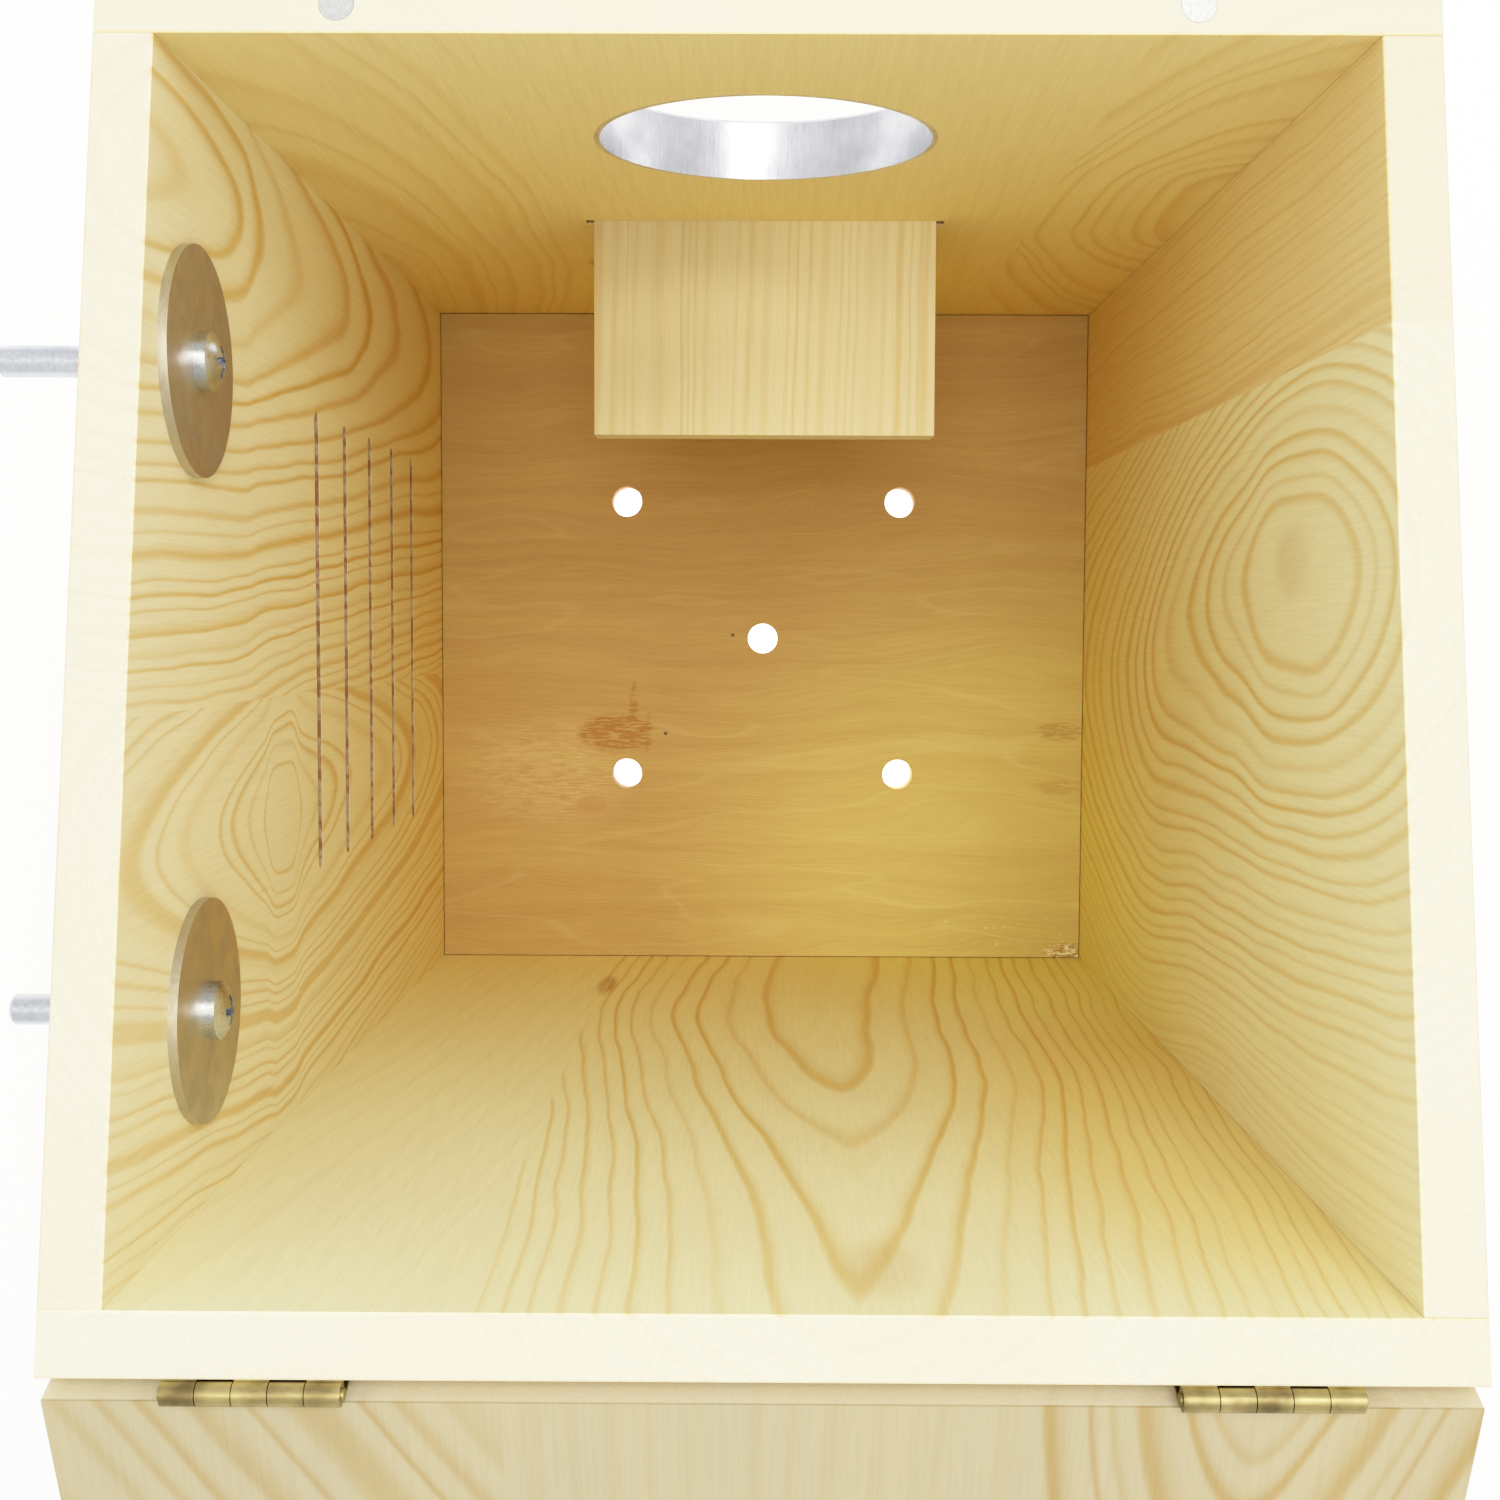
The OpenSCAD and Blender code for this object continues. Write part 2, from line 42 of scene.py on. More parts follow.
class Shader:
    """A material with short calls for the nodes that it is made of."""

    def __init__(self, name):
        self.material = bpy.data.materials.new(name)
        self.material.use_nodes = True
        self.tree = self.material.node_tree
        self.surface = self.tree.nodes["Principled BSDF"]

    def node(self, kind, **settings):
        made = self.tree.nodes.new("ShaderNode" + kind)
        for key, value in settings.items():
            setattr(made, key, value)
        return made

    def plug(self, socket, value):
        if isinstance(value, bpy.types.NodeSocket):
            self.tree.links.new(value, socket)
        elif value is not None:
            socket.default_value = value

    def math(self, operation, first, second=None, third=None):
        made = self.node("Math", operation=operation)
        for socket, value in zip(made.inputs, (first, second, third)):
            self.plug(socket, value)
        return made.outputs[0]

    def add(self, first, second):
        return self.math("ADD", first, second)

    def sub(self, first, second):
        return self.math("SUBTRACT", first, second)

    def mul(self, first, second):
        return self.math("MULTIPLY", first, second)

    def spread(self, value, low, high, to_low=0.0, to_high=1.0, smooth=False):
        """Maps low..high to to_low..to_high, and holds it there outside."""
        made = self.node("MapRange", interpolation_type="SMOOTHSTEP" if smooth else "LINEAR")
        for socket, number in zip(made.inputs, (value, low, high, to_low, to_high)):
            self.plug(socket, number)
        return made.outputs[0]

    def point(self, x, y, z=0.0):
        made = self.node("CombineXYZ")
        for socket, value in zip(made.inputs, (x, y, z)):
            self.plug(socket, value)
        return made.outputs[0]

    def parts(self, vector):
        made = self.node("SeparateXYZ")
        self.plug(made.inputs[0], vector)
        return made.outputs

    def noise(self, vector, detail=2.0, rough=0.5):
        made = self.node("TexNoise")
        self.plug(made.inputs["Vector"], vector)
        made.inputs["Scale"].default_value = 1.0
        made.inputs["Detail"].default_value = detail
        made.inputs["Roughness"].default_value = rough
        return made.outputs["Fac"]

    def drifts(self, vector, detail=2.0):
        """Three unrelated slow noises, each from about -1 to 1."""
        made = self.node("TexNoise")
        self.plug(made.inputs["Vector"], vector)
        made.inputs["Scale"].default_value = 1.0
        made.inputs["Detail"].default_value = detail
        centred = self.node("VectorMath", operation="MULTIPLY_ADD")
        self.plug(centred.inputs[0], made.outputs["Color"])
        centred.inputs[1].default_value = (4.0, 4.0, 4.0)
        centred.inputs[2].default_value = (-2.0, -2.0, -2.0)
        return self.parts(centred.outputs[0])

    def noise_along(self, value, detail=1.0):
        made = self.node("TexNoise", noise_dimensions="1D")
        self.plug(made.inputs["W"], value)
        made.inputs["Scale"].default_value = 1.0
        made.inputs["Detail"].default_value = detail
        return made.outputs["Fac"]

    def curve(self, value, points, span, height):
        """A smooth curve through points, for a value from 0 to span and results from 0 to height."""
        made = self.node("FloatCurve")
        self.plug(made.inputs["Value"], self.mul(value, 1 / span))
        line = made.mapping.curves[0]
        scaled = [(x / span, y / height) for x, y in points]
        for knot, place in zip(line.points, (scaled[0], scaled[-1])):
            knot.location = place
        for place in scaled[1:-1]:
            line.points.new(*place)
        made.mapping.update()
        return self.mul(made.outputs[0], height)

    def ramp(self, value, stops):
        made = self.node("ValToRGB")
        self.plug(made.inputs[0], value)
        knots = made.color_ramp.elements
        while len(knots) < len(stops):
            knots.new(0.5)
        for knot, (place, level) in zip(knots, stops):
            knot.position = place
            knot.color = (level, level, level, 1) if isinstance(level, float) else (*level, 1)
        return made.outputs[0]

    def mix(self, share, first, second, blend="MIX"):
        made = self.node("Mix", data_type="RGBA", blend_type=blend)
        for name, value in (("Factor_Float", share), ("A_Color", first), ("B_Color", second)):
            socket = next(s for s in made.inputs if s.identifier == name)
            if isinstance(value, tuple):
                value = (*value, 1)
            self.plug(socket, value)
        return next(s for s in made.outputs if s.identifier == "Result_Color")

    def choose(self, share, first, second):
        made = self.node("Mix")
        for socket, value in zip(made.inputs[:1] + made.inputs[2:4], (share, first, second)):
            self.plug(socket, value)
        return made.outputs[0]

    def place_mm(self):
        """The surface point in the part's own frame, in millimetres."""
        scale = self.node("VectorMath", operation="SCALE")
        self.plug(scale.inputs[0], self.node("TexCoord").outputs["Object"])
        scale.inputs["Scale"].default_value = 1 / MM
        return scale.outputs[0]

    def finish(self, color, roughness, height, bump_mm, **constant):
        self.plug(self.surface.inputs["Base Color"], color)
        self.plug(self.surface.inputs["Roughness"], roughness)
        for name, value in constant.items():
            self.surface.inputs[name.replace("_", " ").title().replace("Ior", "IOR")].default_value = value
        bump = self.node("Bump")
        bump.inputs["Distance"].default_value = bump_mm * MM
        bump.inputs["Strength"].default_value = 1.0
        self.plug(bump.inputs["Height"], height)
        self.plug(self.surface.inputs["Normal"], bump.outputs[0])
        return self.material


# ---- wood ------------------------------------------------------------------------------

INNER_EARLY = (0.96, 0.86, 0.53)    # pale wood of spring growth, on the mellowed inner faces
INNER_LATE = (0.74, 0.465, 0.105)   # darker line that closes each year's ring
FRONT_SHADE_TINT = (0.93, 0.86, 0.64)     # painted shade: the front wall's inner face, turned away from the light, is made the yellowest and darker
DEEP_SHADE_TINT = (1.0, 0.87, 0.52)        # painted shade: inner faces grow darker and warmer towards the floor, deep in the box
BACK_TINT = (0.86, 0.79, 0.71)      # outer faces are a little duller than cut edges
EDGE_EARLY = (0.86, 0.78, 0.54)     # the same on edges and outer faces, which are paler
EDGE_LATE = (0.72, 0.52, 0.26)

# Each board is glued up from staves. A stave reaches to an edge across the board and has:
# heart, where the tree's axis crosses the board's width, at heights along it; depth, how far
# behind the face that axis lies, at heights along it; ring, a year's growth; crowd, how much
# closer the outer rings lie; skew, the difference between the two sides; core, the radius
# without rings; point, 2 for round figures and less for pointed ones; line, how dark the rings
# are; fade, how much fainter the outer ones are; and the small play of wander, sway and uneven.
# A board's marks are small brown flaws; its other patches are painted light and painted shade.
BOARDS = {
    "plain_side_wall": dict(
        span=300.0,
        staves=[
            dict(edge=-48.0, heart=[(0, -214), (300, -218)], depth=[(0, 30), (300, 34)],
                 ring=2.3, line=0.42, tint=(0.93, 0.82, 0.62)),
            dict(heart=[(0, 5), (90, 5), (160, -9), (225, -13), (300, -10)],
                 depth=[(0, 60), (40, 51), (80, 41), (118, 31), (138, 27), (156, 23), (173, 18.5),
                        (192, 14), (212, 4), (225, 0), (238, 4), (258, 14), (283, 25), (300, 33)],
                 ring=4.2, crowd=0.006, skew=-0.10, core=13.0, line=0.85, fade=0.60, uneven=0.5,
                 tint=(1.02, 1.08, 1.05)),
        ],
        # painted light: a pool of light brightens the wall's rear, low corner
        painted_light_and_shade=[((95.0, 20.0), (100.0, 170.0), (1.04, 1.12, 0.96))],
        marks=[((-15.0, 223.0), (9.0, 15.0), 0.32)]),
    "rear_wall": dict(
        span=300.0,
        staves=[
            dict(edge=42.0, heart=[(0, -20), (100, -14), (160, -16), (300, -14)],
                 depth=[(0, 0), (60, 2), (110, 6), (160, 13), (205, 22), (277, 29.3), (300, 31)],
                 ring=26.7, crowd=0.0534, point=1.5, line=0.95, fade=0.35, uneven=0.15,
                 shift=0.0, sway=0.6, thin=1.7, tint=(1.02, 1.08, 1.04)),
            dict(heart=[(0, 128), (300, 150)], depth=[(0, 20), (300, 60)],
                 ring=4.5, line=0.14, tint=(1.02, 1.08, 1.08)),
        ],
        # painted light on the low corner beside the plain wall, and painted shadow cast by that wall above
        # it
        painted_light_and_shade=[((-95.0, 20.0), (90.0, 130.0), (1.05, 1.12, 1.0)),
              ((-85.0, 190.0), (62.0, 150.0), (0.95, 0.82, 0.56))],
        marks=[((40.5, 54.0), (3.4, 18.0), 0.9), ((-18.0, 279.0), (9.0, 18.0), 0.30)]),
    "grooved_side_wall": dict(
        span=300.0,
        staves=[
            dict(edge=10.0, heart=[(0, -77), (300, -71)],
                 depth=[(0, 44), (88, 36), (133, 30.5), (178, 25), (208, 19), (218, 15), (259, 8),
                        (300, 2)],
                 ring=7.5, crowd=0.012, line=1.0, uneven=0.6, thin=1.15),
            dict(heart=[(0, 29), (300, 33)],
                 depth=[(0, 37), (60, 28), (88, 24), (128, 19), (153, 15.5), (178, 10.5), (193, 0),
                        (208, 10.5), (233, 18), (300, 32)],
                 ring=3.3, crowd=0.004, core=9.5, point=1.75, line=0.80, thin=1.2),
        ]),
    "front_wall": dict(
        span=300.0,
        staves=[
            dict(edge=-58.0, heart=[(0, -99), (300, -93)],
                 depth=[(0, 46), (80, 26), (150, 2), (200, 22), (300, 48)],
                 ring=4.6, line=0.50),
            dict(edge=47.0, heart=[(0, -170), (300, -164)], depth=[(0, 20), (300, 30)],
                 ring=3.4, line=0.12),
            dict(heart=[(0, 112), (150, 98), (300, 92)],
                 depth=[(0, 12), (60, 4), (120, 20), (200, 34), (300, 50)],
                 ring=5.0, line=0.40),
        ],
        marks=[((40.5, 85.0), (2.8, 7.0), 0.7)]),
    "lid_board": dict(
        span=240.0,
        # Each lid stave's tint makes the lid greyer, as its wood is, and darker, which is painted shade.
        staves=[
            dict(edge=-36.0, heart=[(0, -70), (240, -66)],
                 depth=[(0, 4), (12, 9), (24, 13), (60, 25), (240, 55)], ring=5.2, point=1.6,
                 line=0.80, tint=(0.49, 0.465, 0.43)),
            dict(edge=36.0, heart=[(0, -190), (240, -186)], depth=[(0, 20), (240, 24)],
                 ring=6.0, line=0.16, tint=(0.49, 0.465, 0.43)),
            dict(heart=[(0, 10), (240, -110)], depth=[(0, 10), (240, 40)],
                 ring=7.5, line=0.62, tint=(0.49, 0.465, 0.43)),
        ]),
    "inside_step": dict(
        span=100.0,
        staves=[
            # The tint is partly the step's own colour and partly painted shade.
            dict(heart=[(0, -168), (100, -165)], depth=[(0, 30), (100, 33)],
                 ring=3.8, line=0.50, wander=1.0, uneven=1.6, tint=(0.84, 0.79, 0.70)),
        ],
        # painted shadow over the step's left part
        painted_light_and_shade=[((40.0, 10.0), (60.0, 70.0), (0.78, 0.74, 0.66))]),
}


def board_axes(shader, board):
    """Across the grain, along it and into the board from its inner face, in millimetres."""
    place = shader.place_mm()
    if board == "lid_board":
        flat = shader.node("VectorRotate", rotation_type="X_AXIS")
        shader.plug(flat.inputs["Vector"], place)
        flat.inputs["Center"].default_value = [c / MM for c in HINGE["pos_m"]]
        flat.inputs["Angle"].default_value = math.radians(LID_DROP)
        x, y, z = shader.parts(flat.outputs[0])
        top = HINGE["pos_m"][2] / MM - LID_SINK
        return x, shader.sub(y, HINGE["pos_m"][1] / MM), shader.sub(top, z)
    x, y, z = shader.parts(place)
    if board == "inside_step":
        low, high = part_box(board)
        return x, shader.sub(y, low.y / MM), shader.sub(high.z / MM, z)
    if board == "front_wall":
        return x, z, shader.sub(shader.mul(y, -1.0), INNER)
    if board == "rear_wall":
        return x, z, shader.sub(y, INNER)
    if board == "grooved_side_wall":
        return y, z, shader.sub(x, INNER)
    return y, z, shader.sub(shader.mul(x, -1.0), INNER)


def ring_phase(shader, across, along, inward, stave, span, drift, wobble, seed):
    """Years of growth between the tree's axis and the point."""
    lift = 320.0
    heart = shader.curve(along, [(x, y + lift) for x, y in stave["heart"]], span, 2 * lift)
    side = shader.sub(shader.add(across, lift), heart)
    side = shader.add(side, shader.mul(drift[0], stave.get("wander", 2.2)))
    side = shader.add(side, shader.mul(wobble[0], stave.get("wobble", 0.35)))
    if "skew" in stave:
        lean = shader.math("TANH", shader.mul(side, 1 / 12.0))
        side = shader.mul(side, shader.add(shader.mul(lean, stave["skew"]), 1.0))
    deep = shader.add(shader.curve(along, stave["depth"], span, 100.0), inward)
    deep = shader.add(deep, shader.mul(drift[1], stave.get("sway", 0.9)))
    deep = shader.add(deep, shader.mul(wobble[1], 0.25))
    power = stave.get("point", 2.0)
    radius = shader.add(shader.math("POWER", shader.math("ABSOLUTE", side), power),
                        shader.math("POWER", shader.math("MAXIMUM", deep, 0.0), power))
    radius = shader.math("POWER", radius, 1 / power)
    if "core" in stave:
        radius = shader.math("MAXIMUM", shader.sub(radius, stave["core"]), -1.0)
    closer = shader.add(shader.mul(radius, stave.get("crowd", 0.0)), 1.0)
    years = shader.mul(shader.mul(radius, closer), 1 / stave["ring"])
    uneven = shader.noise_along(shader.add(shader.mul(years, 0.45), seed))
    uneven = shader.mul(shader.sub(uneven, 0.5), 2.0 * stave.get("uneven", 1.0))
    faint = shader.spread(radius, 25.0, 85.0, 1.0, 1.0 - stave.get("fade", 0.0))
    return shader.add(years, shader.add(uneven, stave.get("shift", 0.5))), faint


def ring_lines(shader, years, strength, thin):
    """0 in pale wood, rising to a soft dark line in each year."""
    season = shader.math("POWER", shader.math("FRACT", years), thin)
    line = shader.ramp(season, [(0.0, 0.14), (0.10, 0.02), (0.44, 0.05), (0.62, 0.40),
                                (0.75, 0.95), (0.85, 1.0), (0.94, 0.60), (1.0, 0.14)])
    year = shader.node("TexWhiteNoise", noise_dimensions="1D")
    shader.plug(year.inputs["W"], shader.math("FLOOR", years))
    weight = shader.spread(year.outputs["Value"], 0.0, 1.0, 0.45 * strength, strength)
    return shader.mul(line, weight)


def fibres(shader, across, along, inward):
    """Fine streaks along the grain, from 0 to 1, and short dark flecks."""
    streak = shader.noise(shader.point(shader.mul(across, 1.9), shader.mul(along, 0.045),
                                       shader.mul(inward, 1.9)), 3.0, 0.62)
    fleck = shader.noise(shader.point(shader.mul(across, 3.4), shader.mul(along, 0.26),
                                      shader.mul(inward, 3.4)), 1.0, 0.5)
    return streak, shader.spread(fleck, 0.66, 0.78)


def stave_lines(shader, axes, design, drift, wobble, seed):
    """Ring lines and tint over the whole width of a board."""
    across, along, inward = axes
    lines, tint, edge = None, None, None
    for number, stave in enumerate(design["staves"]):
        years, faint = ring_phase(shader, across, along, inward, stave, design["span"], drift,
                                  wobble, seed + 3.1 * number)
        own_lines = ring_lines(shader, years, stave["line"], stave.get("thin", 1.0))
        own_lines = shader.mul(own_lines, faint)
        own_tint = stave.get("tint", (1.0, 1.0, 1.0))
        if lines is None:
            lines, tint = own_lines, own_tint
        else:
            beyond = shader.spread(across, edge - 0.15, edge + 0.15)
            lines = shader.choose(beyond, lines, own_lines)
            tint = shader.mix(beyond, tint, own_tint)
        edge = stave.get("edge")
    return lines, tint


def pine(board, seed):
    """Planed pine, glued up from staves whose growth rings show as long figures."""
    shader = Shader(board + "_pine")
    design = BOARDS[board]
    across, along, inward = axes = board_axes(shader, board)
    drift = shader.drifts(shader.point(shader.mul(across, 0.022), shader.mul(along, 0.009), seed))
    wobble = shader.drifts(shader.point(shader.mul(across, 0.09), shader.mul(along, 0.03),
                                        seed + 5.0), 1.0)
    lines, tint = stave_lines(shader, axes, design, drift, wobble, seed)
    streak, fleck = fibres(shader, across, along, inward)
    cut = shader.spread(inward, 0.15, 0.5)
    edge = shader.mul(cut, shader.spread(inward, 8.95, 8.7))
    lines = shader.mul(lines, shader.spread(edge, 0.0, 1.0, 1.0, 0.30))
    if board.endswith("wall"):
        lines = shader.mul(lines, shader.spread(along, 200.0, 290.0, 1.0, 0.7))
    inner = shader.mix(lines, INNER_EARLY, INNER_LATE)
    for centre, half, strength in design.get("marks", []):
        mark = shader.mul(soft_patch(shader, across, along, centre, half),
                          shader.spread(streak, 0.36, 0.60, 0.3, 1.0))
        inner = shader.mix(shader.mul(mark, strength), inner, (0.50, 0.24, 0.06))
    outer = shader.mix(lines, EDGE_EARLY, EDGE_LATE)
    back = shader.spread(inward, 8.7, 8.95)
    outer = shader.mix(back, outer, shader.mix(1.0, outer, BACK_TINT, "MULTIPLY"))
    inner = shader.mix(1.0, inner, tint, "MULTIPLY")
    outer = shader.mix(0.3, outer, shader.mix(1.0, outer, tint, "MULTIPLY"))
    # painted shade: the front wall's inner face is darkened and yellowed
    if board == "front_wall":
        inner = shader.mix(1.0, inner, FRONT_SHADE_TINT, "MULTIPLY")
    # painted shade: darker and warmer towards the floor
    if board.endswith("wall"):
        low = shader.spread(along, 200.0, 20.0)
        inner = shader.mix(low, inner, shader.mix(1.0, inner, DEEP_SHADE_TINT, "MULTIPLY"))
    # painted light and painted shade: pools of light and cast shadows multiplied into the inner face
    for centre, half, gain in design.get("painted_light_and_shade", []):
        inner = shader.mix(soft_patch(shader, across, along, centre, half), inner,
                           shader.mix(1.0, inner, gain, "MULTIPLY"))
    wood = shader.mix(cut, inner, outer)
    if board == "front_wall":
        # painted shade: the cut faces of the step's housing notches are painted dark brown
        housing_shade = shader.mul(shader.spread(along, 150.0, 148.0), shader.spread(along, 60.0, 62.0))
        housing_shade = shader.mul(housing_shade, shader.spread(shader.math("ABSOLUTE", across), 60.0, 58.0))
        housing_shade = shader.mul(housing_shade, edge)
        wood = shader.mix(housing_shade, wood, (0.40, 0.17, 0.06))
    warm = shader.spread(drift[2], -0.5, 0.9)
    wood = shader.mix(shader.mul(warm, 0.16), wood, (0.80, 0.60, 0.27))
    grey = shader.spread(streak, 0.30, 0.72, 0.93, 1.03)
    wood = shader.mix(1.0, wood, shader.point(grey, grey, grey), "MULTIPLY")
    wood = shader.mix(shader.mul(fleck, 0.22), wood, (0.50, 0.32, 0.13))
    if board == "grooved_side_wall":
        wood = darken_grooves(shader, wood, across, along, inward, lines)
    rough = shader.spread(streak, 0.3, 0.7, 0.66, 0.54)
    return shader.finish(wood, rough, streak, 0.05, specular_ior_level=0.30)


def darken_grooves(shader, wood, across, along, inward, lines):
    """Darker wood inside the climbing grooves, broken into slanted dashes."""
    low, high = GROOVE_FIELD
    inside = shader.mul(shader.spread(inward, 0.01, 0.12), shader.spread(inward, 2.9, 2.6))
    inside = shader.mul(inside, shader.spread(across, low[0], low[0] + 0.2))
    inside = shader.mul(inside, shader.spread(across, high[0], high[0] - 0.2))
    inside = shader.mul(inside, shader.spread(along, high[1], high[1] - 0.2))
    slant = shader.add(across, shader.mul(along, 0.9))
    dash_noise = shader.noise(shader.point(shader.mul(slant, 0.36), shader.mul(along, 0.12),
                                     shader.mul(inward, 0.3)), 2.0, 0.6)
    share = shader.mul(inside, shader.spread(shader.add(dash_noise, shader.mul(lines, 0.20)),
                                             0.44, 0.60, 0.66, 1.0))
    return shader.mix(share, wood, (0.30, 0.13, 0.045))


def plywood():
    """Rotary-cut veneer with faint waves, a torn patch and a few marks of use."""
    shader = Shader("floor_plywood")
    x, y, z = shader.parts(shader.place_mm())
    inward = shader.sub(FLOOR_TOP, z)
    drift = shader.noise(shader.point(shader.mul(x, 0.010), shader.mul(y, 0.03), 2.0), 2.0)
    wave = shader.add(y, shader.mul(drift, 26.0))
    bands = shader.noise(shader.point(shader.mul(x, 0.006), shader.mul(wave, 0.20), 7.0), 3.0)
    streak = shader.noise(shader.point(shader.mul(x, 0.06), shader.mul(wave, 1.7),
                                       shader.mul(inward, 2.0)), 5.0, 0.6)
    pore = shader.noise(shader.point(shader.mul(x, 0.34), shader.mul(y, 4.4), inward), 2.0)
    ply = shader.math("FRACT", shader.mul(inward, 1 / 3.0))
    wood = shader.mix(shader.spread(bands, 0.35, 0.66), (0.70, 0.42, 0.080), (0.64, 0.36, 0.062))
    grey = shader.spread(streak, 0.30, 0.70, 0.91, 1.06)
    wood = shader.mix(1.0, wood, shader.point(grey, grey, grey), "MULTIPLY")
    layer = shader.noise(shader.point(shader.mul(x, 0.006), shader.mul(wave, 0.035), 4.0), 2.0)
    vein = shader.spread(shader.math("PINGPONG", shader.mul(layer, 6.0), 0.5), 0.44, 0.5)
    wood = shader.mix(shader.mul(vein, 0.22), wood, (0.84, 0.60, 0.18))
    wood = shader.mix(shader.mul(shader.spread(pore, 0.62, 0.74), 0.35), wood,
                      (0.30, 0.18, 0.08))
    edge = shader.spread(ply, 0.02, 0.06, 0.35, 0.0)
    wood = shader.mix(edge, wood, (0.25, 0.14, 0.06))
    # A paler patch in the rear corner: partly paler veneer, partly a painted pool of light.
    paler_veneer_and_light_pool = soft_patch(shader, x, y, (-95.0, 80.0), (140.0, 130.0))
    wood = shader.mix(paler_veneer_and_light_pool, wood, shader.mix(1.0, wood, (1.40, 1.78, 1.95), "MULTIPLY"))
    wood = scuffs(shader, wood, x, y, inward)
    rough = shader.spread(streak, 0.3, 0.7, 0.62, 0.50)
    return shader.finish(wood, rough, streak, 0.10, specular_ior_level=0.30)


def soft_patch(shader, x, y, centre, half):
    """1 inside an oval patch, falling smoothly to 0 at its edge."""
    across = shader.mul(shader.sub(x, centre[0]), 1 / half[0])
    along = shader.mul(shader.sub(y, centre[1]), 1 / half[1])
    off = shader.math("SQRT", shader.add(shader.mul(across, across), shader.mul(along, along)))
    return shader.spread(off, 1.0, 0.35, smooth=True)


def scuffs(shader, wood, x, y, inward):
    """An orange torn patch, a pale scraped one beside it, splinters, specks and sawdust."""
    top = shader.spread(inward, 0.6, 0.2)
    tear = shader.noise(shader.point(shader.mul(x, 0.20), shader.mul(y, 1.3), 11.0), 4.0, 0.7)
    fray = shader.mul(shader.sub(tear, 0.5), 6.0)
    pale = shader.mul(soft_patch(shader, x, y, (61.0, 38.0), (31.0, 21.0)), top)
    pale = shader.mul(pale, shader.spread(tear, 0.38, 0.62))
    wood = shader.mix(shader.mul(pale, 0.45), wood, (0.76, 0.52, 0.19))
    for place, half, strength in (((42.0, 27.0), (14.0, 7.0), 1.0), ((36.8, 21.0), (1.7, 11.0), 0.9),
                                  ((32.8, 27.0), (1.4, 7.5), 0.8), ((49.0, 47.5), (6.0, 3.5), 0.35),
                                  ((62.0, 26.0), (5.0, 4.0), 0.2), ((-84.0, 26.0), (9.0, 3.5), 0.45),
                                  ((-84.0, 42.0), (9.0, 3.0), 0.3)):
        patch = soft_patch(shader, shader.add(x, fray), y, place, half)
        patch = shader.mul(shader.mul(patch, top), shader.spread(tear, 0.42, 0.60))
        patch = shader.spread(patch, 0.08, 0.40)
        wood = shader.mix(shader.mul(patch, strength), wood, (0.40, 0.17, 0.018))
    for place in ((8.5, -1.0), (27.5, 27.0)):
        speck = soft_patch(shader, x, y, place, (0.8, 0.7))
        wood = shader.mix(shader.mul(speck, 0.9), wood, (0.06, 0.035, 0.02))
    return sawdust(shader, wood, x, y, top)


def sawdust(shader, wood, x, y, top):
    """A pinch of pale chips swept into the rear corner, with painted shade between them."""
    chips = shader.noise(shader.point(shader.mul(x, 0.6), shader.mul(y, 1.1), 21.0), 2.0, 0.6)
    heap = shader.mul(soft_patch(shader, x, y, (-87.0, 89.6), (8.5, 4.2)), top)
    loose = shader.mul(soft_patch(shader, x, y, (-70.0, 84.0), (30.0, 12.0)), top)
    wood = shader.mix(shader.mul(loose, shader.spread(chips, 0.66, 0.70)), wood, (0.96, 0.80, 0.40))
    # painted shade between the chips of the heap
    wood = shader.mix(shader.mul(heap, shader.spread(chips, 0.50, 0.42)), wood, (0.50, 0.30, 0.07))
    return shader.mix(shader.mul(heap, shader.spread(chips, 0.50, 0.58)), wood, (1.0, 0.88, 0.50))


# ---- metal -----------------------------------------------------------------------------

def metal(name, color, dull, rough, lay, grain_mm=0.5, bump_mm=0.01):
    """Metal with a brushed or drawn surface; lay says how far marks run along X, Y and Z."""
    shader = Shader(name)
    x, y, z = shader.parts(shader.place_mm())
    marks = shader.noise(shader.point(*[shader.mul(axis, 1 / (grain_mm * long))
                                        for axis, long in zip((x, y, z), lay)]), 4.0, 0.6)
    stain = shader.noise(shader.point(*[shader.mul(axis, 0.16) for axis in (x, y, z)]), 3.0)
    tone = shader.mix(shader.spread(stain, 0.38, 0.68), color, dull)
    level = shader.spread(marks, 0.3, 0.7, 0.90, 1.06)
    tone = shader.mix(1.0, tone, shader.point(level, level, level), "MULTIPLY")
    dull_rough = shader.add(shader.spread(stain, 0.35, 0.7, 0.0, 0.12),
                            shader.spread(marks, 0.3, 0.7, rough - 0.05, rough + 0.07))
    return shader.finish(tone, dull_rough, marks, bump_mm, metallic=1.0)


def zinc():
    return metal("bright_zinc", (0.64, 0.66, 0.70), (0.50, 0.53, 0.57), 0.24, (1, 1, 1), 0.7)


def washer_steel():
    return metal("washer_steel", (0.60, 0.56, 0.46), (0.50, 0.46, 0.37), 0.36, (1, 8, 1), 0.35)


def bright_ring():
    return metal("ring_steel", (0.72, 0.73, 0.76), (0.58, 0.59, 0.63), 0.24, (1, 12, 1), 0.5)


def nail_steel():
    return metal("nail_steel", (0.58, 0.57, 0.55), (0.42, 0.40, 0.38), 0.40, (1, 1, 1), 0.4)


def nickel():
    return metal("nickel", (0.82, 0.82, 0.79), (0.68, 0.68, 0.64), 0.22, (1, 1, 1), 0.6)


def brass():
    # painted reflection: the brass is made darker than bright brass, for the dark surroundings that it
    # reflects
    return metal("brass", (0.44, 0.35, 0.14), (0.17, 0.125, 0.05), 0.36, (6, 1, 1), 0.3, 0.02)


# ---- CAD nodes -------------------------------------------------------------------------

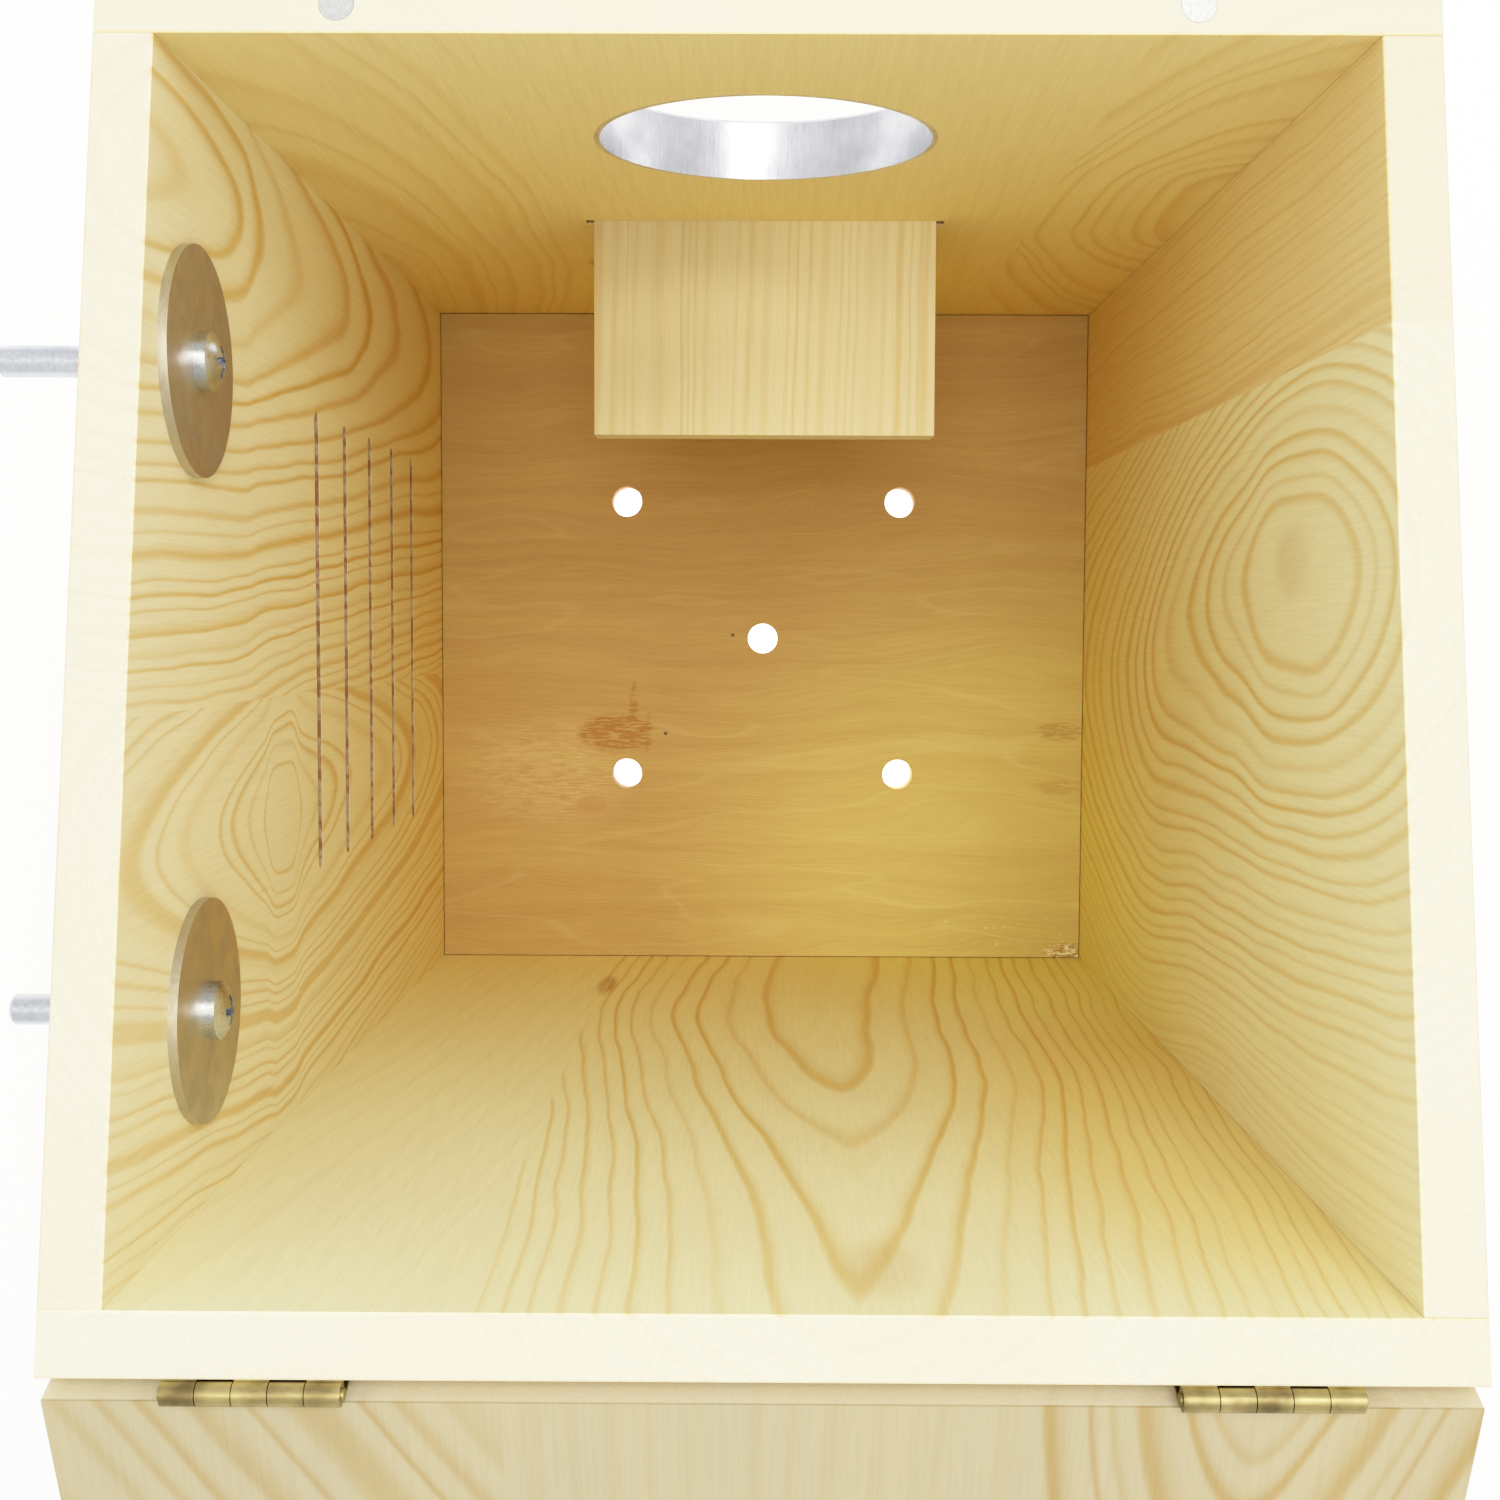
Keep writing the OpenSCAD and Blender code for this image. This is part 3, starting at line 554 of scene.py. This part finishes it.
def dress(node, material, edge_mm=0.0):
    """Gives a CAD node its material, and breaks its sharp edges as wear does."""
    piece = NODES[node]
    for place in piece.material_slots:
        place.material = material
    if edge_mm:
        weld = piece.modifiers.new("weld", "WELD")
        weld.merge_threshold = 0.002 * MM
        flats = piece.modifiers.new("flats", "DECIMATE")
        flats.decimate_type = "DISSOLVE"
        flats.angle_limit = math.radians(0.6)
        bevel = piece.modifiers.new("worn_edges", "BEVEL")
        bevel.width = edge_mm * MM
        bevel.segments = 2
        bevel.limit_method = "ANGLE"
        bevel.angle_limit = math.radians(35)


def dress_wood():
    for seed, board in enumerate(BOARDS):
        dress(board, pine(board, 10.0 * seed), 0.25)
    dress("floor_panel", plywood(), 0.2)


def dress_metal():
    looks = {
        zinc(): ("hanging_bolts", "step_screws", "plate_screws", "front_clamp_nut",
                 "rear_clamp_nut"),
        washer_steel(): ("inner_washers", "front_clamp_washer", "rear_clamp_washer"),
        bright_ring(): ("entrance_liner", "entrance_plate"),
        nail_steel(): ("wall_nails", "floor_nails"),
        nickel(): ("rim_magnets", "lid_magnets"),
        brass(): [side + part for side in ("left_hinge_", "right_hinge_")
                  for part in ("wall_leaf", "lid_leaf", "pin")]
                 + ["hinge_wall_screws", "hinge_lid_screws"],
    }
    for material, names in looks.items():
        for name in names:
            dress(name, material)


# ---- stage, light and camera -----------------------------------------------------------

def floor():
    size = 30.0
    mesh = bpy.data.meshes.new("stage_floor")
    corners = [(-size, -size, 0), (size, -size, 0), (size, size, 0), (-size, size, 0)]
    mesh.from_pydata(corners, [], [(0, 1, 2, 3)])
    plane = bpy.data.objects.new("stage_floor", mesh)
    bpy.context.scene.collection.objects.link(plane)
    mesh.materials.append(pale_floor())


def pale_floor():
    """White, and lit from below where the box stands, so that its vent holes show white."""
    shader = Shader("pale_floor")
    x, y, z = shader.parts(shader.place_mm())
    under = soft_patch(shader, x, y, (0.0, 0.0), (90.0, 90.0))
    fine = shader.noise(shader.point(shader.mul(x, 0.4), shader.mul(y, 0.4)))
    shader.plug(shader.surface.inputs["Emission Strength"],
                shader.spread(under, 0.0, 0.5, 0.6, 2.5))
    shader.surface.inputs["Emission Color"].default_value = (1, 1, 1, 1)
    return shader.finish((0.82, 0.82, 0.81, 1), 0.8, fine, 0.02)


def softbox(name, place, target, size, watts):
    light = bpy.data.lights.new(name, "AREA")
    light.shape = "SQUARE"
    light.size = size
    light.energy = watts
    lamp = bpy.data.objects.new(name, light)
    lamp.location = place
    lamp.rotation_euler = (Vector(target) - Vector(place)).to_track_quat("-Z", "Y").to_euler()
    bpy.context.scene.collection.objects.link(lamp)


def lights():
    world = bpy.data.worlds.new("studio")
    bpy.context.scene.world = world
    world.use_nodes = True
    world.node_tree.nodes["Background"].inputs["Color"].default_value = (1.0, 1.0, 1.0, 1)
    world.node_tree.nodes["Background"].inputs["Strength"].default_value = 1.15
    softbox("overhead", (0.0, -0.05, 1.5), (0, 0, 0.1), 0.5, 7)
    softbox("key", (-0.30, -0.50, 1.45), (0, 0, 0.1), 0.35, 6)


def camera():
    """Looking straight down into the box, as the photograph does, with its front at the top."""
    lens = bpy.data.cameras.new("camera")
    lens.sensor_width = 36.0
    lens.lens = 46.56
    lens.clip_start = 0.01
    eye = bpy.data.objects.new("camera", lens)
    eye.location = (0.5 * MM, -3.5 * MM, 559.9 * MM)
    eye.rotation_euler = [math.radians(a) for a in (-3.65, 0.324, -179.77)]
    bpy.context.scene.collection.objects.link(eye)
    bpy.context.scene.camera = eye


def exposure():
    """Highlights that roll off to white, as on film."""
    view = bpy.context.scene.view_settings
    view.view_transform = "Standard"
    view.use_curve_mapping = True
    view.curve_mapping.white_level = (2.0, 2.0, 2.0)
    tone = view.curve_mapping.curves[3]
    for light, shown in ((0.10, 0.20), (0.25, 0.47), (0.40, 0.68), (0.50, 0.78), (0.70, 0.90)):
        tone.points.new(light, shown)
    view.curve_mapping.update()


dress_wood()
dress_metal()
floor()
lights()
camera()
exposure()
